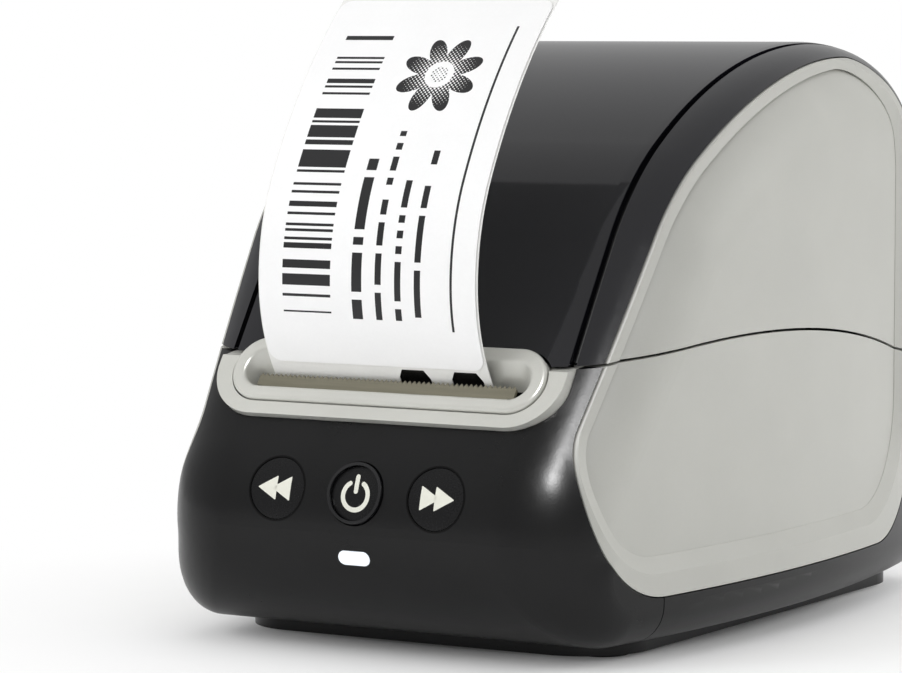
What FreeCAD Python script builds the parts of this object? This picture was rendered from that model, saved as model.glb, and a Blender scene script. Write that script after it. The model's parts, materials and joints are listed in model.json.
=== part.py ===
import FreeCAD, Part
import math
import os

# A desktop thermal label printer. Millimetres, +X to the right, front at -Y, +Z up,
# origin on the table under the middle of the case.

Vector = FreeCAD.Vector
TURN = 2 * math.pi

# Overall size
case_width = 127.0
case_front = -93.5
case_depth = 187.0
case_height = 134.0
case_bottom = 4.0
hinge_proud = 1.5
case_rear = case_front + case_depth - hinge_proud

# Side profile of the case
nose_radius = 24.0
face_radius = 33.0
slope_angle = 55.5
shoulder_height = 92.4
shoulder_radius = 68.0
crown_angle = 32.0
rear_top_radius = 38.0
rear_bottom_radius = 10.0

# Plan and edges of the case
side_radius = 400.0
edge_radius = 22.0
base_edge_radius = 9.0
wall = 2.4
seam = 0.3

# Seam between base and lid, an arched line from the slot to the hinge
lid_seam_front = (-76.0, 64.4)
lid_seam_middle = (-20.0, 69.3)
lid_gap = 0.6
hinge_height = 52.0
housing_seam = -60.5

# Lid hinge
barrel_radius = 3.0
pin_radius = 1.25
pin_clearance = 0.05
base_knuckle = (33.0, 42.0)
lid_knuckle = (22.0, 32.6)
hinge_relief = 3.5
knuckle_depth = 2.6
knuckle_height = 8.0
arm_recess = 0.24

# Lid grooves and the frame behind them
groove_from_side = 20.0
groove_place = case_width / 2 - groove_from_side
groove_width = 1.6
frame_thickness = 2.0
frame_lap = 3.5
frame_rear_bar = 10.0

# Dished side panels
panel_wall = 3.2
panel_inset = 3.5
panel_nose_radius = 24.0
panel_bottom = 14.5
panel_from_rear = 22.0
panel_rear = case_rear - panel_from_rear
panel_rear_radius = 26.0
dish_inset = 6.2
dish_nose_radius = 18.0
dish_bottom = 23.5
dish_from_rear = 30.0
dish_rear = case_rear - dish_from_rear
dish_depth = 2.0
bevel_run = 3.6
bevel_land = 0.1

# Base tray and feet
tray_half_width = 50.0
tray_front = -68.0
tray_rear = 84.0
tray_corner = 16.0
tray_bottom = 1.0
floor_top = 6.4
foot_radius = 6.0
foot_height = 2.2
foot_x = 40.0
foot_front = -54.0
foot_rear = 70.0

# Label slot on the sloping front, measured up the slope
apron_half_width = 44.5
apron_low = 5.8
apron_corner = 12.0
apron_high = 50.0
apron_proud = 1.5
ring_centre = 17.15
ring_half_length = 40.0
ring_half_height = 7.95
ring_band = 3.35
ring_proud = 2.5
ring_depth = 3.0
ring_round = 1.0
throat_half_length = 34.5
throat_height = 4.45
notch_gap = 0.6
tear_half_length = 33.5
tear_reach = 3.7
tear_leg_half_length = 31.5
tear_lift = 0.6
tear_thickness = 0.8
tear_level = 0.2
tooth_pitch = 1.2
tooth_height = 0.8

# Front buttons
button_height = 36.9
button_spacing = 20.3
button_radius = 6.8
button_gap = 0.15
button_sink = 0.15
button_travel = 0.8
boss_radius = 9.0
boss_depth = 4.0
flange_radius = 8.2
flange_thickness = 1.1
flange_gap = 0.1
stem_radius = 2.5
stem_length = 0.8
power_ring_radius = 7.0
power_cap_radius = 6.0
power_ring_proud = 0.7
plunger_radius = 1.75
plunger_rest_gap = 0.1
plunger_length = 1.0
switch_size = 6.0
switch_thickness = 2.3
button_board_thickness = 1.2
button_board_half_width = 35.0
button_board_low = -15.0
button_board_high = 8.0
post_radius = 2.5
post_x = 31.5
post_level = -4.0

# Indicator light
light_height = 22.7
light_length = 8.0
light_width = 3.2
light_gap = 0.1
light_depth = 5.0

# Paper path
paper_half_width = 28.1
paper_centre = -1.9
paper_thickness = 0.25
label_thickness = 0.12
exit_slope_place = 17.2
exit_level = 0.67
exit_lean = 33.0
nip_below_exit = 14.0
bend_below_nip = 6.0
bend_radius = 30.0
first_curl_radius = 38.0
second_curl_radius = 50.0
second_curl_angle = 27.0
third_curl_radius = 135.0
third_curl_angle = 49.0
label_start = 3.0
notch_places = [6.85, 20.2]
notch_width = 8.0
notch_slant = 1.2
notch_depth = 2.2

# Platen, print head and their side plates
platen_radius = 7.0
paper_gap = 0.15
platen_half_length = 33.0
platen_shaft_radius = 2.5
bush_radius = 4.0
running_gap = 0.05
plate_x = 38.0
plate_thickness = 1.5
plate_outline = [(-66, floor_top), (-74, 14), (-74, 42), (-72, 58), (-55, 62), (-44, 50), (-28, 33), (-28, floor_top)]
head_half_length = 32.0
head_board_thickness = 1.5
head_top = 3.0
head_length = 19.0
sink_thickness = 5.0
sink_groove = 1.4
sink_grooves = 5
head_shaft_below = 20.0
head_shaft_front = 3.0
head_shaft_radius = 2.0
head_hub_radius = 4.0
spring_radius = 3.2
lever_thickness = 2.0
lever_length = 34.0
lever_width = 7.0
lever_hub_radius = 4.5
lever_lean = 20.0

# Gear train
gear_module = 0.8
pinion_teeth = 12
idler_teeth = 30
platen_teeth = 24
gear_thickness = 2.6
gear_gap = 1.0
gear_backlash = 0.25
tooth_root = 1.25
tooth_foot = 0.83
tooth_tip = 0.22
motor_place = (-51.0, 18.2)
motor_radius = 11.0
motor_length = 20.0
motor_boss_radius = 3.5
motor_shaft_radius = 1.0
stud_radius = 1.5
stud_head_radius = 2.6
stud_head_thickness = 0.8

# Paper chute, width guide and label sensor
chute_below = 1.0
chute_thickness = 1.5
chute_front = -44.0
chute_rear = -4.0
guide_length = 18.0
guide_height = 6.0
guide_thickness = 3.0
guide_place = -24.0
guide_gap = 0.5
guide_key_width = 4.0
guide_travel = 8.0
key_gap = 0.1
sensor_size = (8.0, 6.0, 5.0)
sensor_place = (8.0, -36.0)

# Label roll and its spool
roll_place = 24.0
roll_radius = 41.0
roll_gap = 0.3
core_radius = 13.0
core_wall = 2.5
spindle_gap = 0.2
flange_disc_radius = 38.0
disc_thickness = 2.0
side_gap = 0.5
guide_disc_radius = 30.0
guide_hub_length = 6.0
guide_hub_radius = 14.0
guide_slide_gap = 0.1
journal_radius = 4.0
cradle_inner = 44.5
cradle_thickness = 2.5
cradle_foot = 14.0
cradle_top = 8.0
cradle_rise = 4.5
shoulder_gap = 0.3
collar_radius = 7.0

# Main board, sockets and screws
board_half_width = 40.0
board_from_rear = 6.0
board_length = 44.0
board_rear = case_rear - board_from_rear
board_front = board_rear - board_length
board_bottom = 9.4
board_thickness = 1.6
standoff_radius = 3.0
board_hole_x = 36.0
board_hole_inset = 5.0
screw_radius = 1.25
screw_head_radius = 2.6
screw_head_height = 1.8
jack_x = -30.0
jack_width = 9.0
jack_height = 11.0
jack_length = 16.0
jack_front = case_rear - jack_length
jack_collar_radius = 4.5
jack_bore_radius = 3.2
jack_bore_depth = 9.0
jack_pin_radius = 1.0
jack_pin_length = 8.0
socket_gap = 0.3
data_x = 22.0
data_width = 12.0
data_height = 11.0
data_length = 18.0
data_front = case_rear - data_length
data_cavity = (8.4, 7.8)
data_tongue = (5.6, 3.2)
data_depth = 9.0
tongue_recess = 1.0
socket_recess = 0.2
jack_clear = 1.2
case_screw_head_height = 1.2
front_screw = (32.0, -65.0)
rear_screw = (45.0, 50.0)
screw_boss_half_width = 4.0
screw_boss_top = 12.0
screw_boss_gap = 0.1

far = 200.0
deep = 20.0
tiny = 0.001
hinge_place = case_rear + hinge_proud - barrel_radius


# Small helpers

def radians(angle):
    return math.radians(angle)


def at(point, radius, angle):
    """A point on a circle in the YZ plane."""
    return Vector(0, point[0] + radius * math.cos(angle), point[1] + radius * math.sin(angle))


def arc_edge(centre, radius, start, end):
    middle = (start + end) / 2
    return Part.Arc(at(centre, radius, start), at(centre, radius, middle), at(centre, radius, end)).toShape()


def line_edge(start, end):
    return Part.LineSegment(start, end).toShape()


def along_x(face, low, high):
    """A YZ face pushed along X from low to high."""
    copy = face.copy()
    copy.translate(Vector(low, 0, 0))
    return copy.extrude(Vector(high - low, 0, 0))


def box(x, y, z):
    """A block from (low, high) pairs."""
    size = (x[1] - x[0], y[1] - y[0], z[1] - z[0])
    return Part.makeBox(*size, Vector(x[0], y[0], z[0]))


def rod(place, radius, low, high):
    """A round bar along X."""
    return Part.makeCylinder(radius, high - low, Vector(low, place[0], place[1]), Vector(1, 0, 0))


def post(x, y, radius, low, high):
    """A round post along Z."""
    return Part.makeCylinder(radius, high - low, Vector(x, y, low))


def stadium(half_length, half_height, middle, low, high):
    """A slot-shaped bar in a local frame, long along x, centred at y = middle."""
    reach = half_length - half_height
    bar = box((-reach, reach), (middle - half_height, middle + half_height), (low, high))
    for x in (-reach, reach):
        bar = bar.fuse(post(x, middle, half_height, low, high))
    return bar.removeSplitter()


def upright_edges(shape):
    return [edge for edge in shape.Edges if abs(edge.Vertexes[0].Z - edge.Vertexes[-1].Z) > tiny]


def placed(shape, place, tilt):
    """A shape turned about X by tilt degrees and moved to a YZ place."""
    copy = shape.copy()
    rotation = FreeCAD.Rotation(Vector(1, 0, 0), tilt)
    copy.Placement = FreeCAD.Placement(Vector(0, place[0], place[1]), rotation).multiply(copy.Placement)
    return copy


def mirrored(shape):
    return shape.mirror(Vector(0, 0, 0), Vector(1, 0, 0))


def save(name, *shapes):
    """One file per sub-part: a single solid, or a group of like solids."""
    solids = [solid for shape in shapes for solid in shape.Solids]
    shape = solids[0] if len(solids) == 1 else Part.makeCompound(solids)
    shape.exportStep("parts/" + name + ".step")
    volume = sum(solid.Volume for solid in solids)
    print(name, len(solids), round(volume, 1), shape.isValid())


# Side profile: circle centres and tangent angles shared by every wall

slope_normal = math.pi / 2 + radians(slope_angle)
crown_normal = math.pi / 2 + radians(crown_angle)
nose_centre = (case_front + nose_radius, case_bottom + nose_radius)
face_centre = (case_front + face_radius, nose_centre[1])
slope_foot = (at(face_centre, face_radius, slope_normal).y, at(face_centre, face_radius, slope_normal).z)
shoulder_run = (shoulder_height - slope_foot[1]) / math.tan(radians(slope_angle))
shoulder_centre = (
    slope_foot[0] + shoulder_run - shoulder_radius * math.cos(slope_normal),
    shoulder_height - shoulder_radius * math.sin(slope_normal),
)
crown_start = at(shoulder_centre, shoulder_radius, crown_normal)
crown_radius = (case_height - crown_start.z) / (1 - math.cos(radians(crown_angle)))
crown_centre = (crown_start.y - crown_radius * math.cos(crown_normal), case_height - crown_radius)
rear_bottom_centre = (case_rear - rear_bottom_radius, case_bottom + rear_bottom_radius)


def rear_corner(rear, radius, inset):
    """Centre and start angle of a rear corner that meets the crown smoothly."""
    y = rear - radius
    reach = crown_radius - inset - radius
    z = crown_centre[1] + math.sqrt(reach ** 2 - (y - crown_centre[0]) ** 2)
    return (y, z), math.atan2(z - crown_centre[1], y - crown_centre[0])


def case_profile(inset):
    """Side outline of the case, moved inwards by inset."""
    rear_centre, rear_angle = rear_corner(case_rear, rear_top_radius, 0)
    rounds = [
        (nose_centre, nose_radius, 1.5 * math.pi, math.pi),
        (face_centre, face_radius, math.pi, slope_normal),
        (shoulder_centre, shoulder_radius, slope_normal, crown_normal),
        (crown_centre, crown_radius, crown_normal, rear_angle),
        (rear_centre, rear_top_radius, rear_angle, 0),
        (rear_bottom_centre, rear_bottom_radius, 0, -math.pi / 2),
    ]
    return rounded_face([(centre, radius - inset, start, end) for centre, radius, start, end in rounds])


def rounded_face(rounds):
    """A closed YZ face from arcs, joined by straight lines where they don't meet."""
    edges = []
    for index, (centre, radius, start, end) in enumerate(rounds):
        edges.append(arc_edge(centre, radius, start, end))
        following = rounds[(index + 1) % len(rounds)]
        here = at(centre, radius, end)
        there = at(following[0], following[1], following[2])
        if here.distanceToPoint(there) > tiny:
            edges.append(line_edge(here, there))
    return Part.Face(Part.Wire(edges))


def panel_profile(inset, nose, bottom, rear):
    """Outline of a side panel: it follows the lid and rounds off at the nose and the rear."""
    centre_z = bottom + nose
    drop = (centre_z - slope_foot[1]) * math.sin(slope_normal)
    centre_y = slope_foot[0] - (inset + nose + drop) / math.cos(slope_normal)
    rear_centre, rear_angle = rear_corner(rear, panel_rear_radius, inset)
    low_centre = (rear - panel_rear_radius, bottom + panel_rear_radius)
    return rounded_face([
        ((centre_y, centre_z), nose, 1.5 * math.pi, slope_normal),
        (shoulder_centre, shoulder_radius - inset, slope_normal, crown_normal),
        (crown_centre, crown_radius - inset, crown_normal, rear_angle),
        (rear_centre, panel_rear_radius, rear_angle, 0),
        (low_centre, panel_rear_radius, 0, -math.pi / 2),
    ])


# Case body: the side profile between two bowed sides, with rounded edges

drawing = FreeCAD.newDocument("case")


def bowed_plan(inset):
    radius = side_radius - inset
    centre = case_width / 2 - side_radius

    def side(y):
        return centre + math.sqrt(radius ** 2 - y ** 2)

    reach = case_depth
    corners = [Vector(sign * side(y), y, -far) for sign, y in ((1, -reach), (1, reach), (-1, reach), (-1, -reach))]
    right = Part.Arc(corners[0], Vector(side(0), 0, -far), corners[1]).toShape()
    left = Part.Arc(corners[2], Vector(-side(0), 0, -far), corners[3]).toShape()
    edges = [right, line_edge(corners[1], corners[2]), left, line_edge(corners[3], corners[0])]
    return Part.Face(Part.Wire(edges)).extrude(Vector(0, 0, 2 * far))


def edge_round(vertex, inset):
    """Edge radius at a corner: small under the base, large at the face and lid."""
    low = vertex.Z < case_bottom + base_edge_radius
    low_rear = vertex.Y > 0 and vertex.Z < rear_bottom_centre[1] + tiny
    return (base_edge_radius if low or low_rear else edge_radius) - inset


def case_body(inset):
    """The whole outer form, moved inwards by inset."""
    block = along_x(case_profile(inset), -case_width, case_width).common(bowed_plan(inset)).Solids[0]
    base = drawing.addObject("Part::Feature", "block")
    base.Shape = block
    rounded = drawing.addObject("Part::Fillet", "rounded")
    rounded.Base = base
    spec = []
    for index, edge in enumerate(block.Edges):
        sides = [vertex.X for vertex in edge.Vertexes]
        if min(sides) * max(sides) > 0:
            radii = [edge_round(vertex, inset) for vertex in edge.Vertexes]
            spec.append((index + 1, radii[0], radii[1]))
    rounded.Edges = spec
    drawing.recompute()
    return rounded.Shape.Solids[0]


outer_body = case_body(0)
inner_body = case_body(wall)
skin = outer_body.cut(inner_body)


# Regions that share the case between lid, base and panels

def seam_face(shift, edge):
    """The YZ region between the lid seam, moved by shift, and a level far above or below."""
    front, middle = lid_seam_front, lid_seam_middle
    hinge = (hinge_place, hinge_height)
    places = [Vector(0, y, z + shift) for y, z in (front, middle, hinge)]
    curve = Part.Arc(*places)
    start = Vector(0, case_front - far, places[0].z)
    end = Vector(0, case_rear + far, places[2].z)
    corners = [Vector(0, end.y, edge), Vector(0, start.y, edge)]
    edges = [line_edge(start, places[0]), curve.toShape(), line_edge(places[2], end)]
    edges += [line_edge(end, corners[0]), line_edge(corners[0], corners[1]), line_edge(corners[1], start)]
    return Part.Face(Part.Wire(edges))


lid_region = along_x(seam_face(lid_gap / 2, far), -case_width, case_width)
base_region = along_x(seam_face(-lid_gap / 2, -far), -case_width, case_width)
panel_cut = panel_profile(panel_inset, panel_nose_radius, panel_bottom, panel_rear)
panel_fill = panel_profile(panel_inset + seam, panel_nose_radius - seam, panel_bottom + seam, panel_rear - seam)
dish_cut = panel_profile(dish_inset, dish_nose_radius, dish_bottom, dish_rear)
panel_side = case_width / 4
panel_holes = along_x(panel_cut, panel_side, case_width).fuse(along_x(panel_cut, -case_width, -panel_side))
hinge_axis = (hinge_place, hinge_height)
lid_relief = box((-far, far), (hinge_place - hinge_relief, far), (0, hinge_height + hinge_relief))
base_relief = box((-far, far), (hinge_place - hinge_relief, far), (hinge_height - hinge_relief, far))


# Slot parts are drawn flat and laid on the sloping front

def on_slope(shape):
    return placed(shape, slope_foot, slope_angle)


ring_outer = stadium(ring_half_length, ring_half_height, ring_centre, -ring_depth, ring_proud)
ring_low = ring_centre - ring_half_height + ring_band


def apron_plate(gap, low, high):
    corner = apron_corner + gap
    half = apron_half_width + gap
    plate = box((-half, half), (apron_low - gap, apron_high), (low, high))
    return plate.makeFillet(corner, [edge for edge in upright_edges(plate) if edge.Vertexes[0].Y < ring_centre])


def slot_apron():
    plate = apron_plate(0, -wall, apron_proud)
    hole = stadium(ring_half_length + seam, ring_half_height + seam, ring_centre, -far, far)
    return on_slope(plate.cut(hole)).common(base_region)


def stadium_wire(half_length, half_height, middle, level):
    flat = stadium(half_length, half_height, middle, level, level + 1)
    return [face for face in flat.Faces if face.CenterOfMass.z < level + tiny][0].OuterWire


def slot_ring():
    """A rim whose mouth narrows, on its upper side, to the throat that the paper comes through."""
    mouth = stadium_wire(ring_half_length - ring_band, ring_half_height - ring_band, ring_centre, ring_proud)
    throat = stadium_wire(throat_half_length, throat_height / 2, ring_low + throat_height / 2, -ring_depth)
    ring = ring_outer.cut(Part.makeLoft([throat, mouth], True, True))
    rims = [edge for edge in ring.Edges if all(abs(vertex.Z - ring_proud) < tiny for vertex in edge.Vertexes)]
    return on_slope(ring.makeFillet(ring_round, rims))


def tear_bar():
    """A toothed blade on a leg that stands on the lower lip of the ring."""
    tip = ring_low + tear_reach
    root = tip - tooth_height
    top = tear_level + tear_thickness
    count = int(2 * tear_half_length / tooth_pitch)
    start = -count * tooth_pitch / 2
    low = ring_low + tear_lift
    outline = [Vector(start, low, tear_level)]
    for tooth in range(count):
        left = start + tooth * tooth_pitch
        outline.append(Vector(left, root, tear_level))
        outline.append(Vector(left + tooth_pitch / 2, tip, tear_level))
    outline.append(Vector(-start, root, tear_level))
    outline.append(Vector(-start, low, tear_level))
    outline.append(outline[0])
    blade = Part.Face(Part.makePolygon(outline)).extrude(Vector(0, 0, tear_thickness))
    leg = box((-tear_leg_half_length, tear_leg_half_length), (ring_low, ring_low + tear_thickness), (-ring_depth, top))
    return on_slope(blade.fuse(leg).removeSplitter())


# Buttons and light sit square to the face

def face_frame(centre, radius, height):
    """Place on a front arc at a height, and the tilt that turns +Z to the face normal."""
    angle = math.pi - math.asin((height - centre[1]) / radius)
    point = at(centre, radius, angle)
    return (point.y, point.z), math.degrees(angle) - 90


button_place, button_tilt = face_frame(face_centre, face_radius, button_height)
light_place, light_tilt = face_frame(nose_centre, nose_radius, light_height)
button_x = [-button_spacing, 0.0, button_spacing]
flange_top = -boss_depth - flange_gap
stem_end = flange_top - flange_thickness - stem_length
plunger_top = stem_end - button_travel - plunger_rest_gap
switch_top = plunger_top - plunger_length
board_top = switch_top - switch_thickness
sunk_body = case_body(button_sink)


def on_face(shape):
    return placed(shape, button_place, button_tilt)


def button(x, radius):
    cap = post(x, 0, radius, flange_top, boss_depth)
    cap = on_face(cap).common(sunk_body)
    flange = post(x, 0, flange_radius, flange_top - flange_thickness, flange_top)
    stem = post(x, 0, stem_radius, stem_end, flange_top - flange_thickness)
    return cap.fuse(on_face(flange.fuse(stem))).removeSplitter()


def power_ring():
    """Raised rim that rides on the power button."""
    rim = post(0, 0, power_ring_radius - button_gap, flange_top, boss_depth)
    rim = rim.cut(post(0, 0, power_cap_radius + button_gap, -far, far))
    raised = case_body(-power_ring_proud)
    return on_face(rim).common(raised)


def light_bar(gap, low, high):
    bar = stadium(light_length / 2 + gap, light_width / 2 + gap, 0, low, high)
    return placed(bar, light_place, light_tilt)


def switches():
    body = []
    for x in button_x:
        half = switch_size / 2
        block = box((x - half, x + half), (-half, half), (board_top, switch_top))
        block = block.fuse(post(x, 0, plunger_radius, switch_top, plunger_top))
        body.append(on_face(block.removeSplitter()))
    return body


def button_board():
    board = box((-button_board_half_width, button_board_half_width), (button_board_low, button_board_high),
                (board_top - button_board_thickness, board_top))
    return on_face(board)


# Case shells

def tray_block(gap):
    """Plate with rounded corners: the tray itself, or with a gap the opening for it."""
    across = tray_half_width + gap
    block = box((-across, across), (tray_front - gap, tray_rear + gap), (tray_bottom - gap, floor_top + gap))
    return block.makeFillet(tray_corner + gap, upright_edges(block))


tray_opening = tray_block(seam / 2)


def screw_boss(across, along, x, y):
    """A rib on the inside of a shell that takes a case screw from below."""
    rib = box(across, along, (floor_top + screw_boss_gap, screw_boss_top)).common(inner_body)
    return rib.cut(post(x, y, screw_radius, -far, screw_boss_top - wall))


def front_housing():
    shell = skin.common(base_region).common(box((-far, far), (-far, housing_seam - seam / 2), (-far, far)))
    for x in button_x:
        boss = post(x, 0, boss_radius, -boss_depth, boss_depth)
        shell = shell.fuse(on_face(boss).common(inner_body))
    for x in (-post_x, post_x):
        pillar = post(x, post_level, post_radius, board_top, boss_depth)
        shell = shell.fuse(on_face(pillar).common(inner_body))
    for x in button_x:
        radius = power_ring_radius if x == 0 else button_radius
        shell = shell.cut(on_face(post(x, 0, radius + button_gap, -2 * boss_depth, far)))
    for sign in (-1, 1):
        x, y = front_screw
        rib = screw_boss((sign * x - screw_boss_half_width, sign * x + screw_boss_half_width),
                         (case_front, housing_seam - seam / 2), sign * x, y)
        shell = shell.fuse(rib)
    shell = shell.cut(light_bar(light_gap, -deep, far))
    shell = shell.cut(on_slope(apron_plate(seam / 2, -deep, far)))
    shell = shell.cut(panel_holes).cut(tray_opening)
    return shell.removeSplitter()


def rear_housing():
    shell = skin.common(base_region).common(box((-far, far), (housing_seam + seam / 2, far), (-far, far)))
    shell = shell.cut(panel_holes).cut(tray_opening).cut(base_relief)
    for sign in (-1, 1):
        low, high = sorted(sign * x for x in base_knuckle)
        arm = box((low, high), (hinge_place - knuckle_depth, case_rear - arm_recess),
                  (hinge_height - knuckle_height, hinge_height))
        shell = shell.fuse(arm.fuse(rod(hinge_axis, barrel_radius, low, high)))
        shell = shell.cut(rod(hinge_axis, pin_radius, low, high))
    x, y = rear_screw
    for sign in (-1, 1):
        across = sorted((sign * (x - screw_boss_half_width), sign * case_width))
        shell = shell.fuse(screw_boss(across, (y - screw_boss_half_width, y + screw_boss_half_width), sign * x, y))
    collar = jack_collar_radius + socket_gap
    jack_z = board_bottom + board_thickness + jack_height / 2
    hole = Part.makeCylinder(collar, far, Vector(jack_x, jack_front, jack_z), Vector(0, 1, 0))
    half = data_width / 2 + socket_gap
    data_z = board_bottom + board_thickness
    window = box((data_x - half, data_x + half), (data_front, far),
                 (data_z - socket_gap, data_z + data_height + socket_gap))
    return shell.cut(hole).cut(window).removeSplitter()


def touches(edge, shape):
    middle = edge.valueAt((edge.FirstParameter + edge.LastParameter) / 2)
    return shape.distToShape(Part.Vertex(middle))[0] < tiny


def dished_panel():
    """The right-hand panel: a flat dish with a bevelled border."""
    panel = outer_body.cut(case_body(panel_wall)).common(along_x(panel_fill, panel_side, case_width))
    dish = along_x(dish_cut, panel_side, case_width)
    panel = panel.cut(dish.cut(case_body(dish_depth)))
    dish_wall = Part.makeShell([face for face in dish.Faces if abs(face.normalAt(0, 0).x) < tiny])
    surface = outer_body.Shells[0]
    rim = [edge for edge in panel.Edges if touches(edge, surface) and touches(edge, dish_wall)]
    return panel.makeChamfer(bevel_run, dish_depth - bevel_land, rim)


lid_skin = skin.common(lid_region).cut(lid_relief)
lid_skin = lid_skin.cut(on_slope(stadium(ring_half_length + notch_gap, ring_half_height + notch_gap, ring_centre,
                                         -far, far)))


def lid_panel():
    half = groove_place - groove_width / 2
    return lid_skin.common(box((-half, half), (-far, far), (-far, far)))


def lid_cheek():
    start = groove_place + groove_width / 2
    return lid_skin.common(box((start, far), (-far, far), (-far, far))).cut(panel_holes)


def lid_frame():
    """Strips behind the grooves, joined by a bar that carries the hinge knuckles."""
    liner = inner_body.cut(case_body(wall + frame_thickness)).common(lid_region).cut(lid_relief)
    liner = liner.cut(on_slope(stadium(ring_half_length + frame_lap, ring_half_height + frame_lap, ring_centre,
                                       -far, far)))
    inside = groove_place - groove_width / 2 - frame_lap
    outside = groove_place + groove_width / 2 + frame_lap
    strips = [box((low, high), (-far, far), (-far, far)) for low, high in ((-outside, -inside), (inside, outside))]
    bar = box((-inside, inside), (case_rear - wall - frame_rear_bar, far),
              (-far, hinge_height + hinge_relief + frame_rear_bar))
    frame = liner.common(strips[0].fuse(strips[1]).fuse(bar)).cut(panel_holes)
    rear_face = case_rear - wall - frame_thickness
    for sign in (-1, 1):
        low, high = sorted(sign * x for x in lid_knuckle)
        arm = box((low, high), (rear_face, hinge_place), (hinge_height, hinge_height + knuckle_height))
        arm = arm.cut(box((-far, far), (case_rear - wall, far), (hinge_height + hinge_relief, far)))
        frame = frame.fuse(arm.fuse(rod(hinge_axis, barrel_radius, low, high)))
        frame = frame.cut(rod(hinge_axis, pin_radius + pin_clearance, low, high))
    return frame.removeSplitter()


def hinge_pins():
    pins = []
    for sign in (-1, 1):
        low, high = sorted(sign * x for x in (lid_knuckle[0], base_knuckle[1]))
        pins.append(rod(hinge_axis, pin_radius, low, high))
    return pins


# Paper path: the exit, the nip and the bend down to the roll

lean = radians(exit_lean)
exit_point = on_slope(Part.Vertex(0, exit_slope_place, exit_level)).Point
rise = Vector(0, -math.sin(lean), math.cos(lean))
inward = Vector(0, math.cos(lean), math.sin(lean))
nip = exit_point - rise * nip_below_exit
bend_end = nip - rise * bend_below_nip
bend_centre = bend_end + inward * bend_radius
path_level = bend_centre.z - bend_radius
roll_axis = (roll_place, path_level + paper_thickness / 2 + roll_gap + roll_radius)
platen_centre = nip + inward * (platen_radius + paper_gap + paper_thickness / 2)
platen_axis = (platen_centre.y, platen_centre.z)


def near_nip(shape):
    """Turn a shape so that its +Z runs along the paper and its +Y towards the platen."""
    return placed(shape, (nip.y, nip.z), exit_lean)


def strip(edges, thickness, half_width):
    """A paper strip of even thickness along a path in the YZ plane."""
    path = Part.Wire(edges)
    face = path.makeOffset2D(thickness / 2, 1, True, True)
    other = path.makeOffset2D(-thickness / 2, 1, True, True)
    side = face.fuse(other).removeSplitter()
    solid = along_x(side, paper_centre - half_width, paper_centre + half_width)
    return solid.Solids[0] if len(solid.Solids) == 1 else solid


def inner_path():
    start = Vector(0, roll_axis[0], path_level)
    low = Vector(0, bend_centre.y, path_level)
    bend = arc_edge((bend_centre.y, bend_centre.z), bend_radius, 1.5 * math.pi, math.pi + lean)
    return [line_edge(start, low), bend, line_edge(bend_end, exit_point)]


def curl(skip, shift):
    """The free strip: it leans out, stands up and curls back over the lid."""
    angles = [-lean, 0.0, radians(second_curl_angle), radians(third_curl_angle)]
    radii = [first_curl_radius, second_curl_radius, third_curl_radius]
    place = exit_point
    edges = []
    for index, radius in enumerate(radii):
        start, end = angles[index], angles[index + 1]
        centre = place + Vector(0, math.cos(start), -math.sin(start)) * radius
        begin = start + (skip / radius if index == 0 else 0)
        reach = radius + shift
        edges.append(arc_edge((centre.y, centre.z), reach, math.pi - begin, math.pi - end))
        place = centre + Vector(0, -math.cos(end), math.sin(end)) * radius
    return edges


def notch_cut():
    """Sensing notches punched through the strip where it leaves the slot."""
    cuts = []
    for middle in notch_places:
        half = notch_width / 2
        corners = [(-half, -notch_depth), (half, -notch_depth), (half, 0), (half - notch_slant, notch_depth),
                   (notch_slant - half, notch_depth), (-half, 0)]
        points = [exit_point + Vector(middle + x, 0, 0) + rise * along - inward * deep / 2 for x, along in corners]
        cuts.append(Part.Face(Part.makePolygon(points + points[:1])).extrude(inward * deep))
    return Part.makeCompound(cuts)


# Print mechanism

def platen_roller():
    roller = rod(platen_axis, platen_radius, -platen_half_length, platen_half_length)
    return roller.cut(rod(platen_axis, platen_shaft_radius, -far, far))


plate_out = plate_x + plate_thickness
gear_low = -plate_out - gear_gap - gear_thickness
gear_high = -plate_out - gear_gap


def platen_shaft():
    return rod(platen_axis, platen_shaft_radius, gear_low, plate_out + gear_gap)


def platen_bush(low, high):
    bush = rod(platen_axis, bush_radius, low, high)
    return bush.cut(rod(platen_axis, platen_shaft_radius + running_gap, -far, far))


def pitch_radius(teeth):
    return gear_module * teeth / 2


def gear(place, teeth, phase, bore):
    """A spur gear with straight-sided teeth; a tooth points along phase."""
    pitch = pitch_radius(teeth)
    tip = pitch + gear_module
    foot = pitch - tooth_root * gear_module
    thick = math.pi * gear_module / 2 - gear_backlash
    profile = [(foot, tooth_foot * thick), (pitch, thick / 2), (tip, tooth_tip * thick)]
    points = []
    for tooth in range(teeth):
        middle = phase + TURN * tooth / teeth
        for radius, half in profile:
            points.append(at(place, radius, middle - half / radius))
        for radius, half in reversed(profile):
            points.append(at(place, radius, middle + half / radius))
    points.append(points[0])
    face = Part.Face(Part.makePolygon(points))
    return along_x(face, gear_low, gear_high).cut(rod(place, bore, -far, far))


def meet(first, first_radius, second, second_radius):
    """The rear one of the two places at given distances from two axes."""
    run = Vector(0, second[0] - first[0], second[1] - first[1])
    distance = run.Length
    along = (first_radius ** 2 - second_radius ** 2 + distance ** 2) / (2 * distance)
    aside = math.sqrt(first_radius ** 2 - along ** 2)
    unit = run.normalize()
    across = Vector(0, unit.z, -unit.y)
    if across.y < 0:
        across = across * -1
    place = Vector(0, first[0], first[1]) + unit * along + across * aside
    return (place.y, place.z)


def meshed_phase(place, teeth, phase, other, other_teeth):
    """Phase of the other gear that puts its gap on this gear's tooth."""
    bearing = math.atan2(other[1] - place[1], other[0] - place[0])
    return bearing + math.pi - (phase - bearing) * teeth / other_teeth + math.pi / other_teeth


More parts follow.
